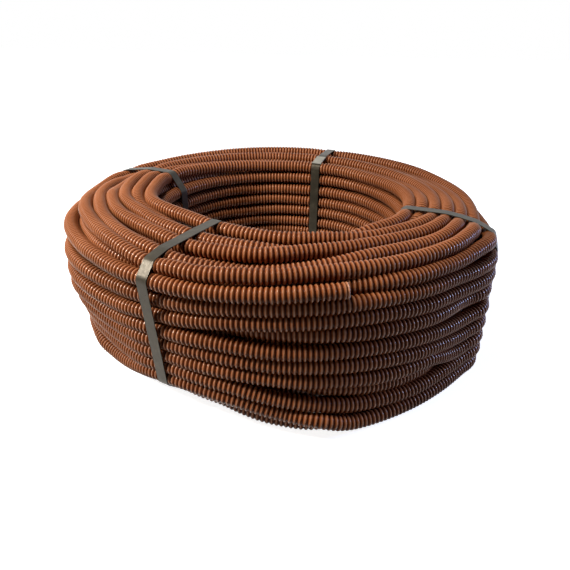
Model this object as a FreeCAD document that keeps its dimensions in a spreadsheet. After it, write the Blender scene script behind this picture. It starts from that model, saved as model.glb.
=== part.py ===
"""Strapped coil of corrugated conduit, lying on its side faces up and down.

Frame: millimetres, +Z up along the coil's axis, origin on the floor under the
middle of the coil. The front of the photograph is towards -Y.
"""
import FreeCAD, Part
import math
import os
from FreeCAD import Placement, Rotation, Vector

os.makedirs("parts", exist_ok=True)
doc = FreeCAD.newDocument("conduit_coil")

# Driving sizes, in millimetres, degrees and counts.
SIZES = [
    ("conduit_diameter", 20.0, "outside of the corrugated conduit"),
    ("conduit_bore", 14.5, "clear inside of the conduit, open at its cut end"),
    ("column_count", 6, "turns side by side, from the bore to the outside"),
    ("layer_count", 11, "turns one above the other"),
    ("outer_layer_count", 10, "turns one above the other in the outermost column"),
    ("column_pitch", 21.7, "radial step between turns"),
    ("layer_pitch", 19.1, "upward step between turns"),
    ("bore_radius", 178.5, "inside of the innermost turns"),
    ("cut_end_direction", -70.0, "where the conduit's cut end lies, seen from the coil's axis"),
    ("free_end_angle", 8.0, "last stretch of the conduit, lying free before its cut end"),
    ("free_end_root", 2.0, "part of that stretch that is solid inside"),
    ("rise_angle", 120.0, "stretch where the turn under the cut end climbs one layer"),
    ("strap_width", 16.0, "width of the strapping"),
    ("strap_thickness", 0.8, "thickness of the strapping"),
    ("strap_clearance", 0.4, "gap between a strap and the turns"),
    ("strap_bend", 3.0, "inside radius where a strap turns a corner"),
    ("seal_length", 32.0, "crimp seal, along its strap"),
    ("seal_thickness", 1.0, "metal of a crimp seal"),
    ("seal_side_gap", 0.3, "gap between a seal's lip and the strap's edge"),
]
# Each strap: name, direction from the coil's axis, and the side its seal is on.
STRAPS = [
    ("front_left", 245.0, "bore"),
    ("back_left", 158.0, "outside"),
    ("back", 74.0, "top"),
    ("right", 341.0, "bore"),
]
# How far, in degrees round the coil, a piece of conduit runs on into the turned ring it joins.
JOIN_ANGLE = 0.5

sheet = doc.addObject("Spreadsheet::Sheet", "Sizes")
for row, (alias, value, note) in enumerate(SIZES, start=1):
    sheet.set("A%d" % row, str(value))
    sheet.setAlias("A%d" % row, alias)
    sheet.set("B%d" % row, note)
doc.recompute()


def size(alias):
    return float(sheet.get(alias))


def bind(obj, **expressions):
    for prop, expression in expressions.items():
        obj.setExpression(prop.replace("__", "."), expression)


def turned_about_axis(degrees):
    return Placement(Vector(0, 0, 0), Rotation(Vector(0, 0, 1), degrees))


# A turn is named by its column and layer, counted from the bore and the floor.
OUT, UP = Vector(1, 0, 0), Vector(0, 0, 1)
OUTERMOST = int(size("column_count")) - 1
TOP_LAYER = int(size("layer_count")) - 1
OUTER_TOP_LAYER = int(size("outer_layer_count")) - 1
half_turn = size("conduit_diameter") / 2
half_crown = half_turn * math.tan(math.pi / 8)
floor_to_coil = size("strap_thickness") + size("strap_clearance")


def turn_middle(column, layer):
    """Middle of a turn's section, in the XZ plane."""
    across = size("bore_radius") + half_turn + column * size("column_pitch")
    return Vector(across, 0, floor_to_coil + half_turn + layer * size("layer_pitch"))


def crown(turn, facing):
    """The flat of an eight-sided turn on the side it faces, in a left-hand walk of the section."""
    along = Vector(-facing.z, 0, facing.x)
    middle = turn_middle(*turn) + facing * half_turn
    return [middle - along * half_crown, middle + along * half_crown]


def groove(turn, neighbour, facing):
    """Bottom of the groove between two turns, where their 45 degree flats meet."""
    step = turn_middle(*neighbour) - turn_middle(*turn)
    depth = step.Length / 2 - half_crown
    return turn_middle(*turn) + step / 2 + facing * (half_turn - depth)


def scalloped_side(turns, facing):
    """Crowns of a row of turns, with the grooves between them."""
    points = crown(turns[0], facing)
    for turn, neighbour in zip(turns, turns[1:]):
        points += [groove(turn, neighbour, facing)] + crown(neighbour, facing)
    return points


def polygon(name, points):
    outline = doc.addObject("Part::Polygon", name)
    outline.Nodes = points
    outline.Close = True
    return outline


def revolved(name, source, start, angle):
    """A solid turned about the coil's axis, from one direction on through an angle."""
    solid = doc.addObject("Part::Revolution", name)
    solid.Source = source
    solid.Axis = (0, 0, 1)
    solid.Solid = True
    bind(solid, Angle=angle)
    solid.Placement = turned_about_axis(start)
    return solid


def wound_ring():
    """All the turns as one turned ring. Its outermost column is one layer lower than the others."""
    beside = OUTERMOST - 1
    outer_top, beside_it = (OUTERMOST, OUTER_TOP_LAYER), (beside, OUTER_TOP_LAYER)
    columns, layers = range(OUTERMOST + 1), range(TOP_LAYER + 1)
    step = crown(outer_top, UP) + [groove(outer_top, beside_it, UP)]
    for layer in range(OUTER_TOP_LAYER + 1, TOP_LAYER + 1):
        step += [groove((beside, layer - 1), (beside, layer), OUT)] + crown((beside, layer), OUT)
    section = polygon(
        "CoilSection",
        scalloped_side([(column, 0) for column in columns], -UP)
        + scalloped_side([(OUTERMOST, layer) for layer in range(OUTER_TOP_LAYER + 1)], OUT)
        + step
        + scalloped_side([(column, TOP_LAYER) for column in reversed(range(OUTERMOST))], UP)
        + scalloped_side([(0, layer) for layer in reversed(layers)], -OUT),
    )
    return revolved("WoundRing", section, 0, "360")


def eight_sided(name, middle):
    """Section of one whole turn."""
    corner = half_turn / math.cos(math.pi / 8)
    points = []
    for i in range(8):
        turn = math.pi / 4 * (i + 0.5)
        points.append(middle + OUT * corner * math.cos(turn) + UP * corner * math.sin(turn))
    return polygon(name, points)


def end_gap():
    """Room cut out of the topmost outer turn, from the free end's root to where the next turn is up."""
    outer, inner = turn_middle(OUTERMOST, OUTER_TOP_LAYER), turn_middle(OUTERMOST - 1, OUTER_TOP_LAYER)
    half_layer, side = size("layer_pitch") / 2, inner.x + half_turn
    notch = side - (half_layer - half_crown)
    beyond, above = outer.x + 2 * half_turn, outer.z + half_turn + half_crown
    section = polygon(
        "GapSection",
        [
            Vector(notch, 0, outer.z - half_layer),
            Vector(beyond, 0, outer.z - half_layer),
            Vector(beyond, 0, above),
            Vector(side, 0, above),
            Vector(notch, 0, outer.z + half_layer),
            Vector(side, 0, outer.z + half_crown),
            Vector(side, 0, outer.z - half_crown),
        ],
    )
    start = size("cut_end_direction") - size("free_end_angle")
    return revolved("EndGap", section, start, "Sizes.free_end_angle + Sizes.rise_angle")


def free_end():
    """The conduit's last stretch, with its cut end open."""
    middle = turn_middle(OUTERMOST, OUTER_TOP_LAYER)
    start = size("cut_end_direction") - size("free_end_angle")
    body = revolved(
        "FreeEndBody",
        eight_sided("FreeEndSection", middle),
        start - JOIN_ANGLE,
        "Sizes.free_end_angle + %s" % JOIN_ANGLE,
    )
    hole = doc.addObject("Part::Circle", "FreeEndHoleSection")
    bind(hole, Radius="Sizes.conduit_bore / 2")
    hole.Placement = Placement(middle, Rotation(OUT, 90))
    bore = revolved(
        "FreeEndBore",
        hole,
        start + size("free_end_root"),
        "Sizes.free_end_angle - Sizes.free_end_root + %s" % JOIN_ANGLE,
    )
    open_end = doc.addObject("Part::Cut", "FreeEnd")
    open_end.Base, open_end.Tool = body, bore
    return open_end


def rising_turn():
    """The turn under the cut end, which climbs to the top layer past it: a tilted stretch of ring."""
    middle = turn_middle(OUTERMOST, OUTER_TOP_LAYER)
    level = eight_sided("RisingSection", Vector(middle.x, 0, 0))
    stretch = revolved("RisingTurn", level, 0, "Sizes.rise_angle + %s" % (2 * JOIN_ANGLE))
    half_chord = middle.x * math.sin(math.radians(size("rise_angle") / 2))
    tilt = math.degrees(math.asin(size("layer_pitch") / 2 / half_chord))
    back_to_start = turned_about_axis(-size("rise_angle") / 2 - JOIN_ANGLE)
    tilted = Placement(Vector(0, 0, 0), Rotation(OUT, tilt)).multiply(back_to_start)
    facing = turned_about_axis(size("cut_end_direction") + size("rise_angle") / 2)
    height = Placement(UP * (middle.z - size("layer_pitch") / 2), Rotation())
    stretch.Placement = height.multiply(facing).multiply(tilted)
    return stretch


def conduit_coil():
    """The wound conduit, with its outer end cut and open on top at the front."""
    opened = doc.addObject("Part::Cut", "RingWithGap")
    opened.Base, opened.Tool = wound_ring(), end_gap()
    coil = doc.addObject("Part::MultiFuse", "conduit_coil")
    coil.Shapes = [opened, free_end(), rising_turn()]
    return coil


def grown(name, source, by, fill=False, sharp=False):
    """An outline moved outwards in its plane. Filled, it is the band between the two."""
    offset = doc.addObject("Part::Offset2D", name)
    offset.Source = source
    offset.Fill = fill
    offset.Join = "Intersection" if sharp else "Arc"
    bind(offset, Value=by)
    return offset


def top_of_outer_turns(direction):
    """Middle of the topmost outer turn, in the XZ plane: it is lower where that turn still climbs."""
    top = turn_middle(OUTERMOST, OUTER_TOP_LAYER)
    climbed, half_rise = (direction - size("cut_end_direction")) % 360, size("rise_angle") / 2
    if climbed >= size("rise_angle"):
        return top
    share = math.sin(math.radians(climbed - half_rise)) / math.sin(math.radians(half_rise))
    return top - UP * size("layer_pitch") / 2 * (1 - share)


def strap(name, direction):
    """A closed band round the turns at the corners of the coil's section."""
    corners = [
        turn_middle(0, 0),
        turn_middle(OUTERMOST, 0),
        top_of_outer_turns(direction),
        turn_middle(OUTERMOST - 1, TOP_LAYER),
        turn_middle(0, TOP_LAYER),
    ]
    core = polygon("StrapCore_" + name, corners)
    sharp = grown("StrapBends_" + name, core, "Sizes.conduit_diameter / 2 - Sizes.strap_bend", sharp=True)
    inside = grown("StrapInside_" + name, sharp, "Sizes.strap_bend + Sizes.strap_clearance")
    band = grown("StrapBand_" + name, inside, "Sizes.strap_thickness", fill=True)
    solid = doc.addObject("Part::Extrusion", "strap_" + name)
    solid.Base = band
    solid.DirMode = "Custom"
    solid.Dir = (0, 1, 0)
    solid.Solid = True
    bind(solid, LengthFwd="Sizes.strap_width / 2", LengthRev="Sizes.strap_width / 2")
    solid.Placement = turned_about_axis(direction)
    return solid


def seal(name, direction, side):
    """A crimp seal: a flat cap over the strap with a lip down each edge."""
    cap = doc.addObject("Part::Box", "SealCap_" + name)
    bind(
        cap,
        Length="Sizes.seal_length",
        Width="Sizes.strap_width + 2 * (Sizes.seal_side_gap + Sizes.seal_thickness)",
        Height="Sizes.strap_thickness + Sizes.seal_thickness",
        Placement__Base__x="-Sizes.seal_length / 2",
        Placement__Base__y="-Sizes.strap_width / 2 - Sizes.seal_side_gap - Sizes.seal_thickness",
        Placement__Base__z="-Sizes.strap_thickness",
    )
    room = doc.addObject("Part::Box", "SealRoom_" + name)
    bind(
        room,
        Length="Sizes.seal_length + 2",
        Width="Sizes.strap_width + 2 * Sizes.seal_side_gap",
        Height="Sizes.strap_thickness + 1",
        Placement__Base__x="-Sizes.seal_length / 2 - 1",
        Placement__Base__y="-Sizes.strap_width / 2 - Sizes.seal_side_gap",
        Placement__Base__z="-Sizes.strap_thickness - 1",
    )
    solid = doc.addObject("Part::Cut", "seal_" + name)
    solid.Base, solid.Tool = cap, room
    # The seal's own +Z points away from the turns; its +X runs along the strap.
    top, half_way = turn_middle(0, TOP_LAYER), turn_middle(0, TOP_LAYER / 2)
    outside = turn_middle(OUTERMOST, OUTER_TOP_LAYER / 2)
    reach = half_turn + floor_to_coil
    seats = {
        "top": (top + UP * reach + OUT * size("seal_length") / 2, Rotation()),
        "bore": (half_way - OUT * reach, Rotation(Vector(0, 1, 0), -90)),
        "outside": (outside + OUT * reach, Rotation(Vector(0, 1, 0), 90)),
    }
    base, turn = seats[side]
    solid.Placement = turned_about_axis(direction).multiply(Placement(base, turn))
    return solid


nodes = [conduit_coil()]
for strap_name, direction, seal_side in STRAPS:
    nodes.append(strap(strap_name, direction))
    nodes.append(seal(strap_name, direction, seal_side))
for node in nodes:
    node.Label = node.Name
doc.recompute()

for obj in doc.Objects:
    if "Invalid" in obj.State or "Error" in obj.State:
        raise RuntimeError("%s: %s" % (obj.Name, obj.State))
for node in nodes:
    if node.Shape.isNull() or not node.Shape.isValid() or len(node.Shape.Solids) < 1:
        raise RuntimeError("%s has no valid solid" % node.Name)
    node.Shape.exportStep(os.path.join("parts", node.Label + ".step"))
    print(node.Label, len(node.Shape.Solids), round(node.Shape.Volume), node.Shape.BoundBox)
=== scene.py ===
"""Strapped coil of brown corrugated conduit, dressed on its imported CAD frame.

Each operator builds one piece or one group of like pieces, and main() calls them in order.
Radii and heights of turns are in millimetres and azimuths in degrees, seen from the coil's axis:
-90 is the front, 0 the right, 90 the back and 180 the left.
"""
import itertools
import math
import random

import bmesh
import bpy
import numpy as np
from mathutils import Matrix, Vector
from mathutils.geometry import convex_hull_2d


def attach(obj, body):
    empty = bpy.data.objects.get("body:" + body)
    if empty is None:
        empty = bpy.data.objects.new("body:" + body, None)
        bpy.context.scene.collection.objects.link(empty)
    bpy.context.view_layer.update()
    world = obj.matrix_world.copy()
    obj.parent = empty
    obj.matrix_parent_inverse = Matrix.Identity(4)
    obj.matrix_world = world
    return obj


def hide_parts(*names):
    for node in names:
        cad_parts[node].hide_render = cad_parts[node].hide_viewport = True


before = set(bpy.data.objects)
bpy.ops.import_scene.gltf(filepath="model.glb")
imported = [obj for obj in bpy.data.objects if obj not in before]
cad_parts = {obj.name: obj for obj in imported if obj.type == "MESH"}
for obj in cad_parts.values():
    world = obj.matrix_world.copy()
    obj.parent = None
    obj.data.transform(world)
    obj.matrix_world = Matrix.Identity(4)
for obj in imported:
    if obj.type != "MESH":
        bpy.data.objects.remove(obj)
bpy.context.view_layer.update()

bl_info = {
    "name": "Strapped conduit coil",
    "version": (1, 0, 0),
    "blender": (4, 5, 0),
    "location": "3D View > Sidebar > Conduit coil",
    "description": "Builds a strapped coil of corrugated conduit on its CAD frame",
    "category": "Object",
}

MM = 0.001

# Photograph: 570 x 570 pixels, and the pinhole camera that fits the coil's outline and straps.
PHOTO_SIZE = 570
FOCAL_PIXELS = 535.7
SENSOR_WIDTH = 36.0
CAMERA_PLACE = (0.0598, -0.7815, 0.4468)
CAMERA_RIGHT = Vector((0.9972, 0.0727, 0.0170))
CAMERA_DOWN = Vector((0.0481, -0.4516, -0.8909))

# Straps by CAD name, with their azimuth.
STRAPS = {"front_left": -115.0, "right": -19.0, "back": 74.0, "back_left": 158.0}

# Room for the middles of the turns inside the CAD coil.
FARTHEST_ACROSS = 296.8
WIDEST_RADIUS = 314.0
INNERMOST_RADIUS = 160.0
LOWEST_HEIGHT = 11.3
HIGHEST_HEIGHT = 202.1

# Turns behind and beneath the ones that show stay inside these.
BEHIND_RADIUS = 280.0
BENEATH_HEIGHT = 186.0

# How near turns lie, as a share of their diameter: their ribs sink into each other's grooves.
NEARNESS = 0.88

# Turns on top of the coil, read from the photograph: azimuth, radius, height. A point that gives
# no height has the height of the point before it.
# The innermost length comes up out of the bore at the front, winds round and sinks back.
INNERMOST_TURNS = [
    (-465, 206, 178), (-455, 198, 176), (-445, 190, 175), (-430, 188.5), (-379, 188.5),
    (-322, 188.5, 177), (-286, 188.5, 176), (-247, 188.5, 175), (-202, 188.5, 176),
    (-150, 188.5, 174), (-118, 187, 175), (-100, 182, 178), (-88, 178, 181), (-80, 175, 184),
    (-72, 174, 187), (-65, 176, 189.5), (-60, 180, 192), (-55, 184, 196.5), (-50, 187, 200.5),
    (-45, 189, 202), (-40, 191), (-35, 193), (-28, 194.5, 201.5), (-19, 194, 201), (8, 192),
    (38, 184, 198), (74, 188, 197), (100, 188, 196), (130, 194, 199), (158, 205, 202), (180, 194),
    (190, 191.5), (200, 187), (210, 176), (215, 171), (225, 164), (242, 165), (260, 172),
    (270, 177), (280, 182), (288, 185), (295, 190.5), (300, 197), (306, 204), (312, 208),
    (319, 212), (325, 217), (332, 221), (341, 225), (350, 226.5), (368, 227), (398, 221),
    (434, 226), (460, 228), (490, 236), (518, 246), (540, 235), (545, 232.5), (550, 228),
    (555, 224), (560, 218.5), (565, 213), (570, 208.5), (580, 206), (590, 203.5), (600, 204),
    (605, 206.5), (613, 210), (620, 212.5), (626, 214, 201.5), (631, 213, 199.5),
    (637, 209.5, 195), (643, 205.5, 190), (650, 203, 186), (658, 203, 184.5), (670, 204, 184),
    (680, 205, 184.5), (686, 206.5, 188), (692, 208.5, 194), (697, 209.5, 198.5), (701, 210, 200),
    (710, 209, 202), (728, 209, 199), (745, 206, 195.5), (758, 203.5, 194), (794, 207, 193),
    (820, 208.5), (850, 215, 195), (866, 220, 199), (878, 226, 202), (900, 214.5), (908, 213, 201),
    (915, 210, 199), (922, 203, 196), (930, 195, 194), (940, 188, 193), (950, 186, 189),
    (958, 190, 185),
]
TOP_TURNS = {
    "fourth_turn": [
        (-180, 250, 196), (-175, 250, 199), (-170, 247, 202), (-165, 244), (-160, 241),
        (-150, 235), (-140, 228), (-130, 225.5), (-120, 228), (-113, 231.5), (-104, 232.5),
        (-96, 232), (-90, 229.5), (-84, 225), (-79, 221.5), (-72, 220.5), (-66, 221.5),
        (-60, 222.5), (-52, 225), (-46, 228.5), (-41, 232), (-35, 237), (-28, 241), (-19, 243),
        (8, 243, 199.5), (22, 241, 197), (38, 239.5, 195.5), (74, 243, 195), (100, 245),
        (130, 252, 194), (158, 260),
    ],
    "fifth_turn": [
        (-180, 267, 198), (-170, 262, 200), (-160, 258.5, 202), (-150, 258), (-140, 258),
        (-130, 260), (-120, 262), (-115, 264.5, 201.5), (-111, 266, 198.5), (-107, 264.5, 194.5),
        (-102, 261, 191.5), (-96, 258.5, 190.5), (-90, 256), (-84, 254.5, 192), (-77, 254, 195.5),
        (-70, 253.5, 199), (-62, 252, 202), (-55, 251.5), (-48, 254.5), (-43, 258), (-38, 261),
        (-30, 262.5), (-26, 262.5, 201.5), (-19, 261, 200), (8, 260, 197), (22, 258, 194),
        (38, 257, 192.5), (74, 260.5, 191.5), (100, 262), (130, 268, 190), (158, 276, 189),
    ],
    "sixth_turn": [
        (-180, 286, 192), (-170, 283, 196), (-165, 281, 198), (-160, 279, 200), (-150, 275, 202),
        (-140, 274), (-130, 275, 201), (-122, 279.5, 198), (-115, 283, 197), (-110, 284.5, 199),
        (-104, 288.5, 200), (-100, 289, 201), (-95, 287, 202), (-87, 284.5), (-81, 280),
        (-75, 278), (-70, 277.5), (-63, 279), (-54, 279.5), (-44, 282), (-38, 284), (-30, 284.5),
        (-26, 285, 201), (-19, 281, 196.5), (8, 277, 197), (38, 275, 200.5), (74, 277, 201),
        (100, 279, 200.5), (130, 284, 196), (146, 284.5, 192), (158, 289, 193),
    ],
    "shoulder_turn": [
        (-180, 284, 174), (-165, 282, 178), (-150, 278, 182), (-135, 276, 185), (-122, 272, 183),
        (-110, 270, 181), (-98, 271, 179), (-88, 273, 180), (-78, 276.5, 184), (-73, 280, 184.5),
        (-69, 283.5, 185.5), (-65, 287, 186.5), (-60, 290, 187.5), (-55, 291.5), (-50, 292),
        (-46, 292.5), (-42, 294, 187), (-35, 297, 187.5), (-30, 301, 188.5), (-26, 305, 188),
        (-22, 305, 186.5), (-19, 301, 184.5), (-8, 293, 181), (8, 289, 180), (38, 283, 182),
        (74, 280, 184), (100, 279), (130, 282, 179), (158, 284, 174),
    ],
}

# The last turns on the outside, wound upwards as one length to the cut end: the azimuth runs on.
LAST_TURNS = [
    (-128, 258, 122), (-118, 260, 125), (-108, 263, 128), (-100, 268, 130), (-95, 275, 132),
    (-90, 282, 134), (-85, 287, 135), (-80, 292, 137), (-76, 294.5, 136.5), (-72, 296, 135.5),
    (-68, 296, 133), (-60, 296.5, 131.5), (-50, 296.5, 127), (-45, 296, 125), (-40, 295, 123.5),
    (-35, 295, 121), (-30, 301, 120), (-26, 310, 120.5), (-22, 313, 121), (-19, 312, 121.5),
    (-11, 303, 122), (0, 296), (38, 295, 125), (100, 294, 129), (158, 300, 131), (180, 296),
    (195, 300), (208, 303), (220, 297, 130), (230, 289, 128), (238, 286, 131), (248, 287, 136.5),
    (256, 289.5, 142.5), (260, 291, 146), (264, 292, 149), (272, 294, 152), (280, 295.5, 153.5),
    (288, 296), (300, 296.5, 151.5), (310, 296.5, 147), (320, 297.5, 145), (327, 304, 144),
    (333, 311.5), (338, 313.5, 144.5), (341, 312, 145), (349, 303, 146.5), (360, 296.5, 148),
    (398, 295, 150), (460, 294, 152), (518, 300, 155), (540, 296, 156), (555, 300), (568, 303),
    (580, 297, 155), (590, 289, 153), (598, 287, 154), (608, 288, 157.5), (616, 290.5, 161.5),
    (624, 292, 164.5), (632, 294, 167.5), (640, 295.5, 171), (648, 296, 172), (660, 296.5, 171.5),
    (670, 296.5, 169), (680, 297.5, 167), (687, 304, 165), (693, 310.5), (698, 312.5), (701, 311),
    (709, 302, 164), (720, 296.5, 162), (758, 295, 167), (820, 294, 172), (878, 296, 175),
    (900, 296.5, 178), (907, 297, 180.5), (915, 300, 182), (922, 300, 182.5), (930, 297),
    (940, 294, 182), (948, 293), (958, 295), (968, 297, 183), (976, 297, 183.5), (984, 297, 184.5),
    (992, 297, 185.5), (1000, 297, 186.5), (1008, 296.5, 187), (1010, 296.5),
]

# Turns lower down on the outside, from the top: azimuth, radius, height.
MIDDLE_ROWS = {
    "sixth_row": [
        (-165, 297, 110), (-152, 302, 109), (-140, 292, 108), (-130, 286, 106), (-122, 285, 110),
        (-112, 285.5, 115.5), (-104, 288, 117.5), (-96, 291, 117), (-88, 293.5, 114.5),
        (-80, 295, 113), (-72, 296, 112), (-60, 296.5, 109), (-50, 296.5, 104),
        (-45, 296.5, 100.5), (-40, 297.5, 98), (-35, 300, 96), (-30, 306), (-26, 313.5, 96.5),
        (-22, 313.5, 97), (-19, 311.5), (-11, 303, 99), (0, 296, 100), (38, 294, 104),
        (100, 294, 108), (158, 300, 110), (180, 294),
    ],
    "fifth_row": [
        (-165, 293, 90), (-152, 296), (-140, 287, 89), (-130, 283, 90), (-122, 284, 94),
        (-112, 284, 97), (-104, 287, 99.5), (-96, 290.5, 98.5), (-88, 293, 96), (-80, 295, 95),
        (-72, 296, 93), (-60, 296.5, 89), (-50, 296.5, 82.5), (-45, 296.5, 79.5), (-40, 297.5, 76),
        (-35, 300, 72.5), (-30, 306, 72), (-26, 313.5, 73), (-22, 313.5, 73.5), (-19, 311.5, 74),
        (-11, 303, 76), (0, 296, 78), (38, 294, 83), (100, 294, 87), (158, 298, 89),
        (180, 292, 90),
    ],
    "fourth_row": [
        (-165, 290, 70), (-152, 289, 71), (-140, 282), (-130, 280, 72), (-122, 282, 74.5),
        (-112, 283, 80), (-104, 286.5, 81), (-96, 290.5, 81.5), (-88, 293, 79), (-80, 295, 75),
        (-72, 296, 73), (-60, 296.5, 67), (-50, 296.5, 64.5), (-45, 296.5, 61.5), (-40, 297.5, 54),
        (-35, 300, 49), (-30, 306, 50), (-26, 313.5, 51), (-22, 313, 51.5), (-19, 311, 52),
        (-11, 303, 54), (0, 296, 57), (38, 294, 63), (100, 294, 67), (158, 296, 69),
        (180, 291, 70),
    ],
}
LOWER_ROWS = {
    "thin_row": [
        (-165, 268, 62), (-140, 262), (-120, 260), (-100, 266, 64), (-84, 274, 62),
        (-80, 279, 59.5), (-76, 284, 57.5), (-72, 288, 57), (-68, 290, 54.5), (-60, 290, 49),
        (-50, 288, 45.5), (-45, 285, 42), (-40, 280, 40), (-30, 277, 39), (-19, 278, 40),
        (38, 272, 44), (100, 268, 52), (158, 266, 60),
    ],
    "third_row": [
        (-165, 287, 51), (-152, 284), (-140, 277), (-130, 277, 53), (-122, 280, 55.5),
        (-112, 282, 61.5), (-104, 286, 62.5), (-96, 290, 60), (-92, 292, 57), (-88, 293, 52),
        (-84, 294, 48), (-80, 295, 44), (-76, 295.5, 40), (-72, 296, 37), (-68, 296, 34),
        (-60, 296.5, 32), (-50, 297, 28.5), (-40, 298, 28), (-30, 306, 31), (-26, 313), (-22, 313),
        (-19, 311), (-11, 303, 32), (0, 296, 33), (38, 293, 36), (74, 293, 40), (100, 293, 44),
        (130, 293, 47), (158, 294, 49), (180, 289, 50),
    ],
    "second_row": [
        (-165, 290, 31), (-152, 285), (-145, 282, 26), (-140, 277, 25), (-130, 275, 30),
        (-122, 277, 38), (-115, 279.5, 43), (-104, 284, 46), (-100, 287, 44.5), (-96, 289, 43),
        (-92, 291, 39), (-88, 292.5, 33.5), (-84, 294.5, 29), (-80, 299.5, 26), (-76, 303.5, 22.5),
        (-73, 304, 18), (-70, 303, 14), (-67, 301.5, 12), (-60, 299.5, 11.3), (-50, 299),
        (-40, 301), (-30, 307, 12), (-26, 312), (-22, 311), (-19, 309), (-11, 302), (0, 296),
        (20, 292), (38, 291, 16), (74, 291, 22), (100, 291, 26), (130, 291, 29), (158, 292, 30),
        (180, 290, 31),
    ],
    "bottom_row": [
        (-165, 289, 11.3), (-152, 279), (-145, 266), (-137, 258, 12), (-130, 256, 15),
        (-122, 258, 22), (-115, 262, 28), (-108, 263, 25), (-104, 264, 23), (-100, 264, 20),
        (-96, 269, 18), (-92, 275, 16), (-88, 280, 13.5), (-84, 284, 12), (-80, 289, 11.3),
        (-76, 292), (-73, 288), (-70, 283), (-60, 279), (-19, 283), (20, 275), (38, 277),
        (74, 286), (100, 289), (130, 291), (158, 291), (180, 290),
    ],
}

# Turns that face the bore, below the innermost one.
BORE_RADIUS = 188.5
BORE_HEIGHTS = [154, 134, 114, 93, 73, 52, 31, 11.3]

# Turns underneath: azimuth, radius, height.
UNDERSIDE_TURNS = {
    "underside_first": [(-90, 208, 11.3), (0, 208), (90, 208), (180, 208)],
    "underside_second": [(-115, 225, 11.3), (-60, 228), (0, 228), (90, 229), (180, 228)],
    "underside_third": [
        (-135, 240, 12), (-115, 243), (-75, 244, 11.3), (0, 247), (90, 250), (180, 248),
    ],
    "underside_fourth": [
        (-165, 268, 12), (-150, 258, 16), (-130, 246, 33), (-115, 247, 40), (-100, 248, 33),
        (-75, 262, 11.3), (-19, 265), (90, 270), (158, 271),
    ],
}

# Turns behind the outermost ones and under the topmost ones, seen in the gaps between those.
SECOND_COLUMN = [
    (-165, 277), (-140, 268), (-115, 264), (-95, 270), (-75, 277), (0, 277), (90, 277),
]
SECOND_COLUMN_HEIGHTS = [50, 69, 88, 107, 126, 145, 164]
SECOND_LAYER_HEIGHT = 183
SECOND_LAYER_RADII = [207, 225, 243, 260]

# Painted shade behind the gaps between turns, a near-black filling: radius and height of its
# section.
CORE_SECTION = [(200, 22), (225, 22), (238, 50), (250, 90), (254, 160), (250, 172), (200, 172)]

# How far each strap pinches the turns under it, on the outside and on top.
STRAP_PINCH = {
    "front_left": (2.0, 2.0), "right": (4.5, 3.0), "back": (2.0, 1.5), "back_left": (3.0, 4.0),
}

# Where each seal sits on its strap: (radius, height) near its middle.
SEAL_SPOTS = {
    "front_left": (178, 107), "right": (178, 107), "back": (196, 213), "back_left": (305, 97),
}

# How much less a turn that shows gives way than one behind it.
FIRM = 30.0

# A turn is known at this many stations round the coil.
STATIONS = 120
STATION_STEP = 360.0 / STATIONS

# Rounds of the coil, counted from azimuth 0, that one length may run through.
ROUNDS = range(-2, 5)

# Waves round the coil in a turn's slight waver.
WAVER_WAVES = (5, 9, 14)

# Settling: how much of an overlap one round takes up, and the least distance it reckons with.
PUSH_SHARE = 0.4
LEAST_DISTANCE = 0.01

# Turns whose middles lie higher than this are pinched from above.
PINCHED_ABOVE = 190

# Ribs: rings of vertices to a rib, and how steeply a groove falls away from its crests.
RINGS_PER_RIB = 4.0
GROOVE_POWER = 1.5

# Painted shade core behind the gaps: steps round the coil.
CORE_STEPS = 72

# Cut end, in metres: sides, the overlap with the tube, ribs seen inside, how far they open the
# bore and the shares of a pitch from a crest to its foot and to its shoulder, and the pale ragged
# rim (paler cut plastic, partly a painted highlight) as pairs: how far in from the ribs' outside,
# and how far along.
CUT_SIDES = 48
CUT_OVERLAP = 0.0002
CUT_FOOT, CUT_INSIDE = -0.0008, -0.0006
CUT_RIBS = 3
CUT_RIB_DEPTH = 0.0010
CUT_RIB_FOOT, CUT_RIB_SHOULDER = 0.30, 0.15
CUT_RIM = [(0.0006, 0.0004), (0.0002, 0.0010), (0.0005, 0.0014), (0.0011, 0.0012)]
RAGGED_RINGS = (2, 3, 4)
PALE_RINGS = (2, 3)
LEAST_RAGGED, MOST_RAGGED = -0.0004, 0.0006

# Straps, in millimetres: points on a turn's circle, longest step along the line, and bevel.
CIRCLE_POINTS = 32
STRAP_STEP = 6.0
STRAP_BEVEL = 0.18

# Crimp seals, in millimetres: the metal, its gaps to the strap, its lips and rounded edges, and
# the notches crimped into it.
SEAL_METAL = 0.7
SEAL_SIDE_GAP = 0.35
SEAL_LIFT = 0.12
SEAL_LIP = 0.05
SEAL_EDGE_ACROSS, SEAL_EDGE_DOWN = 0.5, 0.45
SEAL_LINE_STEP = 1.0
SEAL_STEPS = 40
NOTCH_PLACES = (-8.5, 0.0, 8.5)
NOTCH_WIDTH = 1.3
NOTCH_DEPTH = 1.5
NOTCH_RISE = 0.08

# Tones of a colour along a grain from 0 to 1: where, and the factors on red, green and blue.
PLASTIC_TONES = [(0.30, (0.861, 0.824, 0.786)), (0.55, (1, 1, 1)), (0.75, (1.139, 1.203, 1.286))]
STRAP_TONES = [(0.25, (0.58, 0.61, 0.625)), (0.55, (1, 1, 1)), (0.80, (2.10, 2.12, 2.08))]
SEAL_TONES = [(0.30, (0.625, 0.627, 0.613)), (0.70, (1, 1, 1))]

# Painted highlight and shade along a rib, from its crest down: crests pale, flanks and grooves
# darker.
RIB_PAINTED_SHADE_AND_HIGHLIGHT = [
    (0.03, (1, 1, 1)), (0.12, (0.91, 0.80, 0.69)), (0.34, (0.62, 0.43, 0.27)),
    (0.72, (0.16, 0.07, 0.035)),
]

# Height of the bumps in every uneven surface, in metres.
BUMP_HEIGHT = 0.0004

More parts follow.
